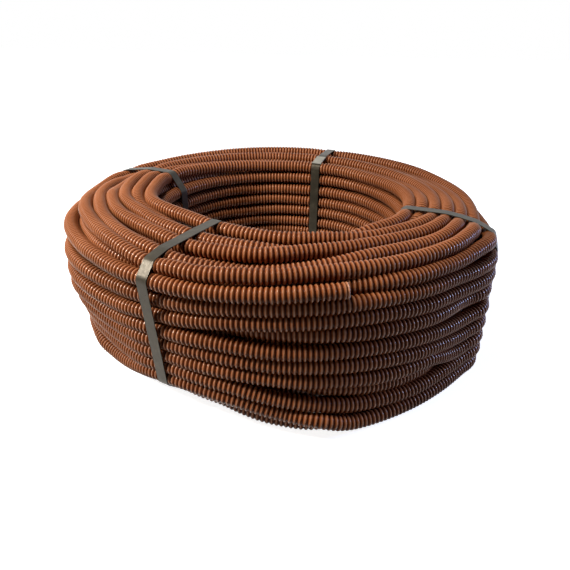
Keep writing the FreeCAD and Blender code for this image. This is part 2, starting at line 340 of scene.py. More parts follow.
# Lamps: the setting that holds the power, place, size of the disc, and colour.
LAMPS = {
    "lamp_left": ("key_power", (-1.20, -0.45, 1.02), 0.3, (1.0, 0.96, 0.90)),
    "lamp_above": ("top_power", (-0.35, -0.40, 1.45), 0.3, (1.0, 0.95, 0.87)),
    "lamp_right": ("side_power", (1.45, 0.06, 0.44), 0.3, (0.33, 0.48, 1.0)),
    "lamp_front": ("front_power", (-1.00, -1.20, 0.62), 0.5, (1.0, 0.93, 0.86)),
}
LAMP_TARGET = (0, 0, 0.12)

# Floor and world: greys for rays that only light, the floor's grey where it is seen, and its glow
# there, which rises to white between two distances from the coil's axis, in metres.
FLOOR_LIGHTING, FLOOR_SEEN = 0.14, 0.82
FLOOR_GLOW = 0.88
GLOW_NEAR, GLOW_FAR = 0.5, 1.6
WORLD_LIGHTING = 0.01


# What the properties of lengths, in metres, and of colours share.
LENGTH = {"subtype": "DISTANCE", "unit": "LENGTH"}
COLOUR = {"subtype": "COLOR", "min": 0.0, "max": 1.0}


class ConduitSettings(bpy.types.PropertyGroup):
    diameter: bpy.props.FloatProperty(
        name="Diameter", description="Outside of the conduit's ribs", default=0.020,
        **LENGTH,
    )
    bore: bpy.props.FloatProperty(
        name="Bore", description="Clear inside of the conduit", default=0.0145,
        **LENGTH,
    )
    rib_pitch: bpy.props.FloatProperty(
        name="Rib pitch", description="Distance from rib to rib", default=0.00575,
        **LENGTH,
    )
    groove_depth: bpy.props.FloatProperty(
        name="Groove depth", description="Depth of the groove between two ribs", default=0.0023,
        **LENGTH,
    )
    colour: bpy.props.FloatVectorProperty(
        name="Colour", description="Brown of the plastic", default=(0.36, 0.148, 0.070),
        **COLOUR,
    )
    sides: bpy.props.IntProperty(
        name="Sides", description="Sides of a turn that shows", default=12, min=6,
    )
    plain_sides: bpy.props.IntProperty(
        name="Plain sides", description="Sides of a turn underneath", default=8, min=6,
    )
    hidden_sides: bpy.props.IntProperty(
        name="Hidden sides", description="Sides of a turn behind others", default=6, min=5,
    )
    seed: bpy.props.IntProperty(
        name="Seed", description="Seed of the turns' slight waver", default=7,
    )


class StrapSettings(bpy.types.PropertyGroup):
    width: bpy.props.FloatProperty(
        name="Width", description="Width of the strapping", default=0.015,
        **LENGTH,
    )
    thickness: bpy.props.FloatProperty(
        name="Thickness", description="Thickness of the strapping", default=0.0008,
        **LENGTH,
    )
    clearance: bpy.props.FloatProperty(
        name="Clearance", description="Gap between the strap and the turns", default=0.0003,
        **LENGTH,
    )
    seal_length: bpy.props.FloatProperty(
        name="Seal length", description="Crimp seal, along its strap", default=0.032,
        **LENGTH,
    )
    colour: bpy.props.FloatVectorProperty(
        name="Colour", description="Dark olive grey of the strapping",
        default=(0.038, 0.033, 0.024), **COLOUR,
    )
    seal_colour: bpy.props.FloatVectorProperty(
        name="Seal colour", description="Bare steel of the seals", default=(0.40, 0.375, 0.31),
        **COLOUR,
    )


class StageSettings(bpy.types.PropertyGroup):
    floor_size: bpy.props.FloatProperty(
        name="Floor size", description="Side of the square floor", default=12.0,
        **LENGTH,
    )
    key_power: bpy.props.FloatProperty(
        name="Key light", description="Power of the lamp on the left", default=26.0,
        unit="POWER",
    )
    top_power: bpy.props.FloatProperty(
        name="Top light", description="Power of the lamp above", default=13.0, unit="POWER",
    )
    side_power: bpy.props.FloatProperty(
        name="Side light", description="Power of the cool lamp on the right", default=14.0,
        unit="POWER",
    )
    front_power: bpy.props.FloatProperty(
        name="Front light", description="Power of the low lamp in front", default=1.8,
        unit="POWER",
    )


def waypoint_curve(waypoints, azimuths, closed=True):
    """Radius and height at each azimuth, smoothly through the waypoints."""
    height, points = None, []
    for azimuth, radius, *own in waypoints:
        height = own[0] if own else height
        points.append((azimuth, radius, height))
    points = np.array(sorted(points), dtype=float)
    if closed:
        points[:, 0] = points[:, 0] % 360
        points = points[np.argsort(points[:, 0])]
        before, after = points.copy(), points.copy()
        before[:, 0] -= 360
        after[:, 0] += 360
        points = np.concatenate([before, points, after])
        azimuths = np.asarray(azimuths) % 360
    at, values = points[:, 0], points[:, 1:]
    slopes = np.gradient(values, at, axis=0)
    i = np.clip(np.searchsorted(at, azimuths) - 1, 0, len(at) - 2)
    span = at[i + 1] - at[i]
    t = ((azimuths - at[i]) / span)[:, None]
    span = span[:, None]
    return (
        (2 * t**3 - 3 * t**2 + 1) * values[i]
        + (t**3 - 2 * t**2 + t) * span * slopes[i]
        + (3 * t**2 - 2 * t**3) * values[i + 1]
        + (t**3 - t**2) * span * slopes[i + 1]
    )


def strap_pull(azimuths, spread=4.0):
    """How far the straps pull the turns in, in millimetres: on the outside, and on top."""
    outside, top = np.zeros(len(azimuths)), np.zeros(len(azimuths))
    for name, strap in STRAPS.items():
        away = (np.asarray(azimuths) - strap + 180) % 360 - 180
        pull = np.exp(-((away / spread) ** 2))
        outside = np.maximum(outside, pull * STRAP_PINCH[name][0])
        top = np.maximum(top, pull * STRAP_PINCH[name][1])
    return outside, top


class Turn:
    """One length of conduit that goes round the coil once or more, known at every station."""

    def __init__(self, name, group, waypoints, rng, closed=True, firm=1.0, waver=0.6):
        self.name, self.group, self.closed, self.firm = name, group, closed, firm
        if closed:
            self.stations = np.arange(STATIONS)
        else:
            first = math.ceil(waypoints[0][0] / STATION_STEP)
            last = math.floor(waypoints[-1][0] / STATION_STEP)
            self.stations = np.arange(first, last + 1)
        azimuths = self.stations * STATION_STEP
        self.place = waypoint_curve(waypoints, azimuths, closed)
        for waves in WAVER_WAVES:
            for axis in (0, 1):
                phase = rng.uniform(0, 2 * math.pi)
                size = waver * rng.uniform(0.4, 1.0) * WAVER_WAVES[0] / waves
                self.place[:, axis] += size * np.sin(np.radians(azimuths) * waves + phase)

    def middle_at(self, azimuth):
        """Every (radius, height) of this length at an azimuth."""
        found = []
        for whole in ROUNDS:
            at = (azimuth + 360 * whole) / STATION_STEP - self.stations[0]
            if self.closed:
                if whole == 0:
                    i = int(math.floor(at)) % STATIONS
                    start, end = self.place[i], self.place[(i + 1) % STATIONS]
                    share = at - math.floor(at)
                    found.append(start * (1 - share) + end * share)
            elif 0 <= at < len(self.stations) - 1:
                i = int(at)
                found.append(self.place[i] * (i + 1 - at) + self.place[i + 1] * (at - i))
        return found

    def points(self, per_station=2):
        """Points along the conduit's middle, in metres."""
        count = len(self.stations)
        spare = 0 if self.closed else per_station - 1
        steps = np.arange(count * per_station - spare) / per_station
        i = np.floor(steps).astype(int)
        t = (steps - i)[:, None]

        def at(k):
            return self.place[k % count if self.closed else np.clip(k, 0, count - 1)]

        before, start, end, after = at(i - 1), at(i), at(i + 1), at(i + 2)
        place = 0.5 * (
            2 * start + (end - before) * t
            + (2 * before - 5 * start + 4 * end - after) * t**2
            + (3 * start - before - 3 * end + after) * t**3
        )
        turn = np.radians((self.stations[0] + steps) * STATION_STEP)
        return np.stack(
            [place[:, 0] * np.cos(turn), place[:, 0] * np.sin(turn), place[:, 1]], axis=1
        ) * MM


def smoothed(moves, closed, times=2):
    """Moves evened out along a length of conduit."""
    for _ in range(times):
        ahead, behind = np.roll(moves, -1, 0), np.roll(moves, 1, 0)
        if not closed:
            ahead[-1], behind[0] = moves[-1], moves[0]
        moves = 0.5 * moves + 0.25 * (ahead + behind)
    return moves


def settle(turns, nearest, rounds=40):
    """Pushes turns that lie nearer than this apart, little by little, inside the coil's room."""
    places = np.concatenate([turn.place for turn in turns])
    stations = np.concatenate([turn.stations % STATIONS for turn in turns])
    lengths = [len(turn.place) for turn in turns]
    ends = np.cumsum(lengths)[:-1]
    gives = np.repeat([1.0 / turn.firm for turn in turns], lengths)
    groups = np.repeat([turn.group for turn in turns], lengths)
    behind, beneath = groups == "behind", groups == "beneath"
    azimuths = np.radians(stations * STATION_STEP)
    farthest = FARTHEST_ACROSS / np.maximum(np.abs(np.cos(azimuths)), np.abs(np.sin(azimuths)))
    farthest = np.minimum(farthest, WIDEST_RADIUS)
    farthest[behind] = np.minimum(farthest[behind], BEHIND_RADIUS)
    highest = np.full(len(places), HIGHEST_HEIGHT)
    highest[behind | beneath] = BENEATH_HEIGHT
    pairs = []
    for station in range(STATIONS):
        pairs += itertools.combinations(np.nonzero(stations == station)[0], 2)
    first, second = np.array(pairs).T
    for _ in range(rounds):
        apart = places[second] - places[first]
        distance = np.maximum(np.hypot(apart[:, 0], apart[:, 1]), LEAST_DISTANCE)
        overlap = np.maximum(nearest - distance, 0.0)
        push = apart / distance[:, None] * overlap[:, None] * PUSH_SHARE
        share = (gives[second] / (gives[first] + gives[second]))[:, None]
        move = np.zeros_like(places)
        np.add.at(move, second, push * share)
        np.add.at(move, first, -push * (1 - share))
        parts = zip(np.split(move, ends), turns)
        places += np.concatenate([smoothed(part, turn.closed) for part, turn in parts])
        places[:, 0] = np.clip(places[:, 0], INNERMOST_RADIUS, farthest)
        places[:, 1] = np.clip(places[:, 1], LOWEST_HEIGHT, highest)
    for turn, place in zip(turns, np.split(places, ends)):
        turn.place = place


def wound_turns(settings):
    """All turns that show, where they lie between and under the straps."""
    rng = random.Random(settings.seed)
    traced = {"firm": FIRM, "waver": 0.3}
    turns = [
        Turn("innermost_turns", "top_inner", INNERMOST_TURNS, rng, closed=False, **traced),
        Turn("last_turns", "outer_upper", LAST_TURNS, rng, closed=False, **traced),
    ]
    groups = (("top_outer", TOP_TURNS), ("outer_middle", MIDDLE_ROWS), ("outer_lower", LOWER_ROWS))
    for group, lengths in groups:
        for name, waypoints in lengths.items():
            turns.append(Turn(name, group, waypoints, rng, **traced))
    round_about = (-90, 0, 90, 180)
    for row, height in enumerate(BORE_HEIGHTS):
        waypoints = [(azimuth, BORE_RADIUS, height) for azimuth in round_about]
        turns.append(Turn("bore_row_%d" % (row + 1), "bore", waypoints, rng, firm=FIRM))
    for name, waypoints in UNDERSIDE_TURNS.items():
        turns.append(Turn(name, "underside", waypoints, rng, waver=0.4))
    for row, height in enumerate(SECOND_COLUMN_HEIGHTS):
        waypoints = [(azimuth, radius, height) for azimuth, radius in SECOND_COLUMN]
        turns.append(Turn("second_column_%d" % (row + 1), "behind", waypoints, rng))
    for column, radius in enumerate(SECOND_LAYER_RADII):
        waypoints = [(azimuth, radius, SECOND_LAYER_HEIGHT) for azimuth in round_about]
        turns.append(Turn("second_layer_%d" % (column + 1), "beneath", waypoints, rng))
    settle(turns, settings.diameter / MM * NEARNESS)
    for turn in turns:
        outside, top = strap_pull(turn.stations * STATION_STEP)
        if turn.group.startswith("outer"):
            turn.place[:, 0] -= outside
        if turn.group.startswith("top"):
            turn.place[:, 1] -= top * (turn.place[:, 1] > PINCHED_ABOVE)
    return turns


def feed(socket, value):
    """Sets an input from another socket, or to a plain value."""
    if isinstance(value, bpy.types.NodeSocket):
        socket.id_data.links.new(value, socket)
    else:
        socket.default_value = value


def fill_in(node, values):
    """Sets a node's inputs by name."""
    for name, value in values.items():
        feed(node.inputs[name], value)


def add(tree, kind, values=()):
    """A new node with its inputs filled in."""
    node = tree.nodes.new(kind)
    fill_in(node, dict(values))
    return node


def maths(tree, operation, first, second=None):
    """A Math node; its inputs are numbers or sockets."""
    node = add(tree, "ShaderNodeMath")
    node.operation = operation
    feed(node.inputs[0], first)
    if second is not None:
        feed(node.inputs[1], second)
    return node.outputs[0]


TUBE_INPUTS = {
    "Path": "NodeSocketGeometry",
    "Radius": "NodeSocketFloat",
    "Rib Pitch": "NodeSocketFloat",
    "Groove Depth": "NodeSocketFloat",
    "Sides": "NodeSocketInt",
    "Caps": "NodeSocketBool",
    "Material": "NodeSocketMaterial",
}


def corrugated_tube_tree():
    """Geometry Nodes: a ribbed tube along each spline, a few rings to a rib."""
    name = "corrugated tube"
    if name in bpy.data.node_groups:
        return bpy.data.node_groups[name]
    tree = bpy.data.node_groups.new(name, "GeometryNodeTree")
    tree.interface.new_socket(name="Geometry", in_out="OUTPUT", socket_type="NodeSocketGeometry")
    for label, kind in TUBE_INPUTS.items():
        tree.interface.new_socket(name=label, in_out="INPUT", socket_type=kind)
    given = add(tree, "NodeGroupInput").outputs

    length = add(tree, "GeometryNodeSplineLength")
    cyclic = add(tree, "GeometryNodeInputSplineCyclic")
    pitches = maths(tree, "DIVIDE", length.outputs["Length"], given["Rib Pitch"])
    rings = maths(tree, "MULTIPLY", maths(tree, "ROUND", pitches), RINGS_PER_RIB)
    open_ring = maths(tree, "SUBTRACT", 1.0, cyclic.outputs[0])
    resample = add(tree, "GeometryNodeResampleCurve", {
        "Curve": given["Path"], "Count": maths(tree, "ADD", rings, open_ring),
    })
    upright = add(tree, "GeometryNodeSetCurveNormal", {"Curve": resample.outputs["Curve"]})
    upright.mode = "Z_UP"

    place = add(tree, "GeometryNodeSplineParameter")
    step = maths(tree, "MODULO", place.outputs["Index"], RINGS_PER_RIB)
    off_crest = maths(tree, "ABSOLUTE", maths(tree, "SUBTRACT", step, RINGS_PER_RIB / 2))
    from_crest = maths(tree, "DIVIDE", off_crest, RINGS_PER_RIB / 2)
    groove = maths(tree, "POWER", from_crest, GROOVE_POWER)
    depth = maths(tree, "DIVIDE", given["Groove Depth"], given["Radius"])
    keep = add(tree, "GeometryNodeStoreNamedAttribute", {
        "Geometry": upright.outputs["Curve"], "Name": "groove", "Value": groove,
    })

    ring = add(tree, "GeometryNodeCurvePrimitiveCircle", {
        "Resolution": given["Sides"], "Radius": given["Radius"],
    })
    tube = add(tree, "GeometryNodeCurveToMesh", {
        "Curve": keep.outputs["Geometry"],
        "Profile Curve": ring.outputs["Curve"],
        "Scale": maths(tree, "SUBTRACT", 1.0, maths(tree, "MULTIPLY", groove, depth)),
        "Fill Caps": given["Caps"],
    })
    smooth = add(tree, "GeometryNodeSetShadeSmooth", {"Geometry": tube.outputs["Mesh"]})
    painted = add(tree, "GeometryNodeSetMaterial", {
        "Geometry": smooth.outputs["Geometry"], "Material": given["Material"],
    })
    add(tree, "NodeGroupOutput", {"Geometry": painted.outputs["Geometry"]})
    return tree


def path_object(name, lengths):
    """A curve with one straight-run spline for each (points, closed)."""
    data = bpy.data.curves.new(name, "CURVE")
    data.dimensions = "3D"
    for points, closed in lengths:
        spline = data.splines.new("POLY")
        spline.points.add(len(points) - 1)
        spline.points.foreach_set("co", np.hstack([points, np.ones((len(points), 1))]).ravel())
        spline.use_cyclic_u = closed
    path = bpy.data.objects.new(name, data)
    bpy.context.collection.objects.link(path)
    return path


def ribbed_piece(name, lengths, settings, material, sides, caps):
    """Runs the corrugated tube nodes along the lengths and keeps the result as a plain mesh."""
    path = path_object(name + "_path", lengths)
    modifier = path.modifiers.new("Corrugated tube", "NODES")
    modifier.node_group = corrugated_tube_tree()
    values = {
        "Radius": settings.diameter / 2,
        "Rib Pitch": settings.rib_pitch,
        "Groove Depth": settings.groove_depth,
        "Sides": sides,
        "Caps": caps,
        "Material": material,
    }
    for item in modifier.node_group.interface.items_tree:
        if item.item_type == "SOCKET" and item.in_out == "INPUT" and item.name in values:
            modifier[item.identifier] = values[item.name]
    depsgraph = bpy.context.evaluated_depsgraph_get()
    mesh = bpy.data.meshes.new_from_object(
        path.evaluated_get(depsgraph), preserve_all_data_layers=True, depsgraph=depsgraph
    )
    mesh.name = name
    if not mesh.polygons:
        raise RuntimeError("%s came out empty" % name)
    curve = path.data
    bpy.data.objects.remove(path)
    bpy.data.curves.remove(curve)
    piece = bpy.data.objects.new(name, mesh)
    bpy.context.collection.objects.link(piece)
    return piece


def mesh_piece(name, bm, material, smooth=True):
    """A finished bmesh as an object at the origin."""
    bmesh.ops.recalc_face_normals(bm, faces=bm.faces)
    mesh = bpy.data.meshes.new(name)
    bm.to_mesh(mesh)
    bm.free()
    for face in mesh.polygons:
        face.use_smooth = smooth
    mesh.materials.append(material)
    piece = bpy.data.objects.new(name, mesh)
    bpy.context.collection.objects.link(piece)
    return piece


def stands_for(piece, slot, *nodes):
    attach(piece, "root")
    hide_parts(*nodes)


def skin(bm, rings, joined=False):
    """Faces between each ring of vertices and the next, and round to the first again if joined."""
    followers = rings[1:] + rings[:1] if joined else rings[1:]
    for ring, after in zip(rings, followers):
        for i in range(len(ring)):
            j = (i + 1) % len(ring)
            bm.faces.new((ring[i], ring[j], after[j], after[i]))


def made_once(name):
    """For a function that fills in a node material: it runs the first time, and then no more."""
    def wrap(fill):
        def material():
            if name not in bpy.data.materials:
                made = bpy.data.materials.new(name)
                made.use_nodes = True
                fill(made.node_tree, made.node_tree.nodes["Principled BSDF"])
            return bpy.data.materials[name]
        return material
    return wrap


def noise(tree, scale, detail=3.0, roughness=0.5):
    """Noise on object coordinates."""
    place = add(tree, "ShaderNodeTexCoord").outputs["Object"]
    values = {"Vector": place, "Scale": scale, "Detail": detail, "Roughness": roughness}
    return add(tree, "ShaderNodeTexNoise", values).outputs["Fac"]


def ramp(tree, value, stops):
    """A colour ramp with (position, colour) stops."""
    node = add(tree, "ShaderNodeValToRGB", {"Fac": value})
    elements = node.color_ramp.elements
    while len(elements) < len(stops):
        elements.new(0.5)
    for element, (position, colour) in zip(elements, stops):
        element.position, element.color = position, (*colour, 1.0)
    return node.outputs["Color"]


def mottled(tree, value, colour, tones):
    """The tones of a colour as a ramp."""
    return ramp(tree, value, [
        (position, [channel * factor for channel, factor in zip(colour, factors)])
        for position, factors in tones
    ])


def mapped(tree, value, low, high, start=0.0, end=1.0):
    """From low to high, as the value runs from start to end."""
    values = {"Value": value, "From Min": start, "From Max": end, "To Min": low, "To Max": high}
    return add(tree, "ShaderNodeMapRange", values).outputs["Result"]


def mixed(tree, share, first, second, blend="MIX"):
    """Two colours mixed; a Mix node's colours are its inputs 6 and 7."""
    node = add(tree, "ShaderNodeMix")
    node.data_type, node.blend_type = "RGBA", blend
    feed(node.inputs[0], share)
    feed(node.inputs[6], first)
    feed(node.inputs[7], second)
    return node.outputs[2]


def bumpy(tree, value, strength):
    """The normals of an uneven surface."""
    values = {"Height": value, "Strength": strength, "Distance": BUMP_HEIGHT}
    return add(tree, "ShaderNodeBump", values).outputs["Normal"]


@made_once("brown corrugated plastic")
def brown_plastic(tree, surface):
    """Semi-gloss brown plastic: painted shade darkens its grooves, and a painted highlight keeps
    its crests pale.
    """
    brown = bpy.context.scene.conduit_settings.colour
    patches = mottled(tree, noise(tree, 9.0, 4.0), brown, PLASTIC_TONES)
    groove = add(tree, "ShaderNodeAttribute")
    groove.attribute_name = "groove"
    # Painted shade darkens the flanks and grooves, and the crests stay paler as a painted
    # highlight.
    shade = ramp(tree, groove.outputs["Fac"], RIB_PAINTED_SHADE_AND_HIGHLIGHT)
    fill_in(surface, {
        "Base Color": mixed(tree, 1.0, patches, shade, "MULTIPLY"),
        "Roughness": mapped(tree, noise(tree, 140.0, 4.0, 0.6), 0.18, 0.30),
        "Normal": bumpy(tree, noise(tree, 900.0, 3.0), 0.08),
        "Specular IOR Level": mapped(tree, groove.outputs["Fac"], 0.55, 0.03, end=0.22),
        "Specular Tint": (1.0, 0.84, 0.72, 1.0),
    })


@made_once("dark strapping")
def strap_steel(tree, surface):
    """Painted steel strapping: dark olive grey, scuffed in places."""
    olive = bpy.context.scene.strap_settings.colour
    fill_in(surface, {
        "Base Color": mottled(tree, noise(tree, 60.0, 6.0, 0.65), olive, STRAP_TONES),
        "Roughness": mapped(tree, noise(tree, 220.0, 5.0, 0.7), 0.16, 0.52),
        "Normal": bumpy(tree, noise(tree, 320.0, 3.0), 0.30),
        "Specular IOR Level": 0.22,
        "Specular Tint": (1.0, 0.86, 0.66, 1.0),
    })


@made_once("seal steel")
def seal_steel(tree, surface):
    """Bare satin steel of the crimp seals, a little warm."""
    steel = bpy.context.scene.strap_settings.seal_colour
    fill_in(surface, {
        "Base Color": mottled(tree, noise(tree, 110.0, 5.0, 0.6), steel, SEAL_TONES),
        "Roughness": mapped(tree, noise(tree, 400.0, 4.0), 0.28, 0.45),
        "Metallic": 0.85,
    })


@made_once("deep shade")
def painted_gap_shade(tree, surface):
    """Painted shade: near-black brown for the deep shade between turns and inside the cut end."""
    tones = [(0.3, (0.018, 0.008, 0.005)), (0.7, (0.035, 0.014, 0.009))]
    fill_in(surface, {
        "Base Color": ramp(tree, noise(tree, 40.0), tones),
        "Roughness": 0.8,
        "Specular IOR Level": 0.1,
    })


@made_once("cut plastic")
def cut_rim_and_painted_highlight(tree, surface):
    """The cut rim: paler and dull, partly the cut plastic's own paler edge and partly a painted
    highlight.
    """
    tones = [(0.35, (0.60, 0.36, 0.25)), (0.65, (0.86, 0.69, 0.56))]
    fill_in(surface, {"Base Color": ramp(tree, noise(tree, 700.0, 4.0), tones), "Roughness": 0.7})


# The settled turns, which the operators share.
wound = {"turns": None}


def turns_of(context):
    """The settled turns, worked out once."""
    if wound["turns"] is None:
        wound["turns"] = wound_turns(context.scene.conduit_settings)
    return wound["turns"]


def group_piece(context, name, group, sides):
    """A piece for all turns of a group; those with the cut end stay open at their ends."""
    settings = context.scene.conduit_settings
    lengths = [(turn.points(), turn.closed) for turn in turns_of(context) if turn.group == group]
    caps = group != "outer_upper"
    piece = ribbed_piece(name, lengths, settings, brown_plastic(), sides, caps)
    stands_for(piece, "conduit", "conduit_coil")


class BuildOuterTurns(bpy.types.Operator):
    """Turns on the outside of the coil, in three groups from the cut end's turns down"""

    bl_idname = "conduit.outer_turns"
    bl_label = "Outer turns"

    def execute(self, context):
        sides = context.scene.conduit_settings.sides
        group_piece(context, "outer_turns_upper", "outer_upper", sides)
        group_piece(context, "outer_turns_middle", "outer_middle", sides)
        group_piece(context, "outer_turns_lower", "outer_lower", sides)
        return {"FINISHED"}


class BuildTopTurns(bpy.types.Operator):
    """Turns on top of the coil, from the bore to the shoulder"""

    bl_idname = "conduit.top_turns"
    bl_label = "Top turns"

    def execute(self, context):
        sides = context.scene.conduit_settings.sides
        group_piece(context, "top_turns_inner", "top_inner", sides)
        group_piece(context, "top_turns_outer", "top_outer", sides)
        return {"FINISHED"}


class BuildBoreTurns(bpy.types.Operator):
    """Turns that face the bore"""

    bl_idname = "conduit.bore_turns"
    bl_label = "Bore turns"

    def execute(self, context):
        group_piece(context, "bore_turns", "bore", context.scene.conduit_settings.sides)
        return {"FINISHED"}


class BuildUnderside(bpy.types.Operator):
    """Turns underneath, and a near-black filling behind the gaps between turns, painted as the
    shade there
    """

    bl_idname = "conduit.underside"
    bl_label = "Underside and core"

    def execute(self, context):
        settings = context.scene.conduit_settings
        group_piece(context, "underside_turns", "underside", settings.plain_sides)
        group_piece(context, "second_column_turns", "behind", settings.hidden_sides)
        group_piece(context, "second_layer_turns", "beneath", settings.hidden_sides)
        bm = bmesh.new()
        rings = []
        for k in range(CORE_STEPS):
            turn = 2 * math.pi * k / CORE_STEPS
            rings.append([
                bm.verts.new((r * MM * math.cos(turn), r * MM * math.sin(turn), z * MM))
                for r, z in CORE_SECTION
            ])
        skin(bm, rings, joined=True)
        core = mesh_piece("coil_core", bm, painted_gap_shade())
        stands_for(core, "conduit", "conduit_coil")
        return {"FINISHED"}


class BuildCutEnd(bpy.types.Operator):
    """The open end of the conduit: its wall, ragged pale rim, partly a painted highlight, and the
    inside of its last ribs
    """

    bl_idname = "conduit.cut_end"
    bl_label = "Cut end"

    def execute(self, context):
        settings = context.scene.conduit_settings
        last = next(turn for turn in turns_of(context) if turn.name == "last_turns")
        before, end = [Vector(point) for point in last.points()[-2:]]
        along = (end - before).normalized()
        side = along.cross(Vector((0, 0, 1))).normalized()
        up = side.cross(along).normalized()
        rng = random.Random(settings.seed)
        outside, inside = settings.diameter / 2, settings.bore / 2 - CUT_OVERLAP
        profile = [(outside - settings.groove_depth - CUT_OVERLAP, CUT_FOOT)]
        profile += [(outside - inset, ahead) for inset, ahead in CUT_RIM]
        profile.append((inside, CUT_INSIDE))
        foot, shoulder = CUT_RIB_FOOT * settings.rib_pitch, CUT_RIB_SHOULDER * settings.rib_pitch
        for rib in range(CUT_RIBS):
            crest = -(rib + 0.5) * settings.rib_pitch
            profile += [
                (inside, crest + foot), (inside + CUT_RIB_DEPTH, crest + shoulder),
                (inside + CUT_RIB_DEPTH, crest - shoulder), (inside, crest - foot),
            ]
        ragged = [rng.uniform(LEAST_RAGGED, MOST_RAGGED) for _ in range(CUT_SIDES)]
        bm = bmesh.new()
        rings = []
        for k, (radius, offset) in enumerate(profile):
            ring = []
            for s in range(CUT_SIDES):
                turn = 2 * math.pi * s / CUT_SIDES
                shift = offset + (ragged[s] if k in RAGGED_RINGS else 0.0)
                out = side * math.cos(turn) + up * math.sin(turn)
                ring.append(bm.verts.new(end + along * shift + out * radius))
            rings.append(ring)
        skin(bm, rings)
        bm.faces.new(rings[-1])
        piece = mesh_piece("cut_end", bm, brown_plastic())
        piece.data.materials.append(cut_rim_and_painted_highlight())
        piece.data.materials.append(painted_gap_shade())
        # Rim rings 2 and 3 are painted pale: the cut's paler plastic, partly a painted highlight.
        for face in piece.data.polygons:
            if min(face.vertices) // CUT_SIDES in PALE_RINGS:
                face.material_index = 1
        # The last face, the disc that closes the bore behind the ribs, is painted shade.
        piece.data.polygons[-1].material_index = 2
        stands_for(piece, "conduit", "conduit_coil")
        return {"FINISHED"}


def strap_line(context, azimuth):
    """The tight line round the coil's section at a strap, as (radius, height) points."""
    settings, strap = context.scene.conduit_settings, context.scene.strap_settings
    reach = (settings.diameter / 2 + strap.clearance) / MM
    circles = []
    for turn in turns_of(context):
        if turn.group in ("behind", "beneath"):
            continue
        for middle in turn.middle_at(azimuth):
            for k in range(CIRCLE_POINTS):
                angle = 2 * math.pi * k / CIRCLE_POINTS
                circles.append(Vector((
                    middle[0] + reach * math.cos(angle),
                    middle[1] + reach * math.sin(angle),
                )))
    return [circles[i] for i in convex_hull_2d(circles)]


def resampled(line, step):
    """The closed line with even steps, at most this long, kept on its corners."""
    points = []
    for a, b in zip(line, line[1:] + line[:1]):
        parts = max(1, math.ceil((b - a).length / step))
        points += [a.lerp(b, k / parts) for k in range(parts)]
    return points


def outward(line):
    """Unit normals of a closed line, away from its middle."""
    middle = sum(line, Vector((0, 0))) / len(line)
    normals = []
    for k, point in enumerate(line):
        along = (line[(k + 1) % len(line)] - line[k - 1]).normalized()
        normal = Vector((along.y, -along.x))
        normals.append(normal if normal.dot(point - middle) > 0 else -normal)
    return normals


def radial_place(azimuth, across, radius, height):
    """A point in metres, from its place in a strap's radial plane and its distance across it."""
    turn = math.radians(azimuth)
    out = Vector((math.cos(turn), math.sin(turn), 0))
    side = Vector((-math.sin(turn), math.cos(turn), 0))
    return out * radius * MM + side * across * MM + Vector((0, 0, height * MM))


def section_ring(bm, azimuth, radius, height, normal, section):
    """Vertices round a place on a strap's line: (across, lift) pairs of its section."""
    return [
        bm.verts.new(radial_place(
            azimuth, across, radius + normal.x * lift, height + normal.y * lift
        ))
        for across, lift in section
    ]


def strap_piece(context, name, azimuth):
    """A strap's band, tight round the turns under it."""
    strap = context.scene.strap_settings
    line = resampled(strap_line(context, azimuth), STRAP_STEP)
    half, thick, bevel = strap.width / MM / 2, strap.thickness / MM, STRAP_BEVEL
    section = [
        (-half + bevel, 0), (half - bevel, 0), (half, bevel), (half, thick - bevel),
        (half - bevel, thick), (-half + bevel, thick), (-half, thick - bevel), (-half, bevel),
    ]
    bm = bmesh.new()
    rings = [
        section_ring(bm, azimuth, point.x, point.y, normal, section)
        for point, normal in zip(line, outward(line))
    ]
    skin(bm, rings, joined=True)
    piece = mesh_piece("strap_band_" + name, bm, strap_steel())
    with_sharp_edges(piece)
    stands_for(piece, "strap", "strap_" + name)


def with_sharp_edges(piece, degrees=35):
    """Smooth faces, with the edges sharper than this kept crisp."""
    bm = bmesh.new()
    bm.from_mesh(piece.data)
    for edge in bm.edges:
        edge.smooth = edge.is_manifold and edge.calc_face_angle(0.0) < math.radians(degrees)
    bm.to_mesh(piece.data)
    bm.free()


class BuildStraps(bpy.types.Operator):
    """The four straps, each tight round the turns where it lies"""

    bl_idname = "conduit.straps"
    bl_label = "Straps"

    def execute(self, context):
        for name, azimuth in STRAPS.items():
            strap_piece(context, name, azimuth)
        return {"FINISHED"}


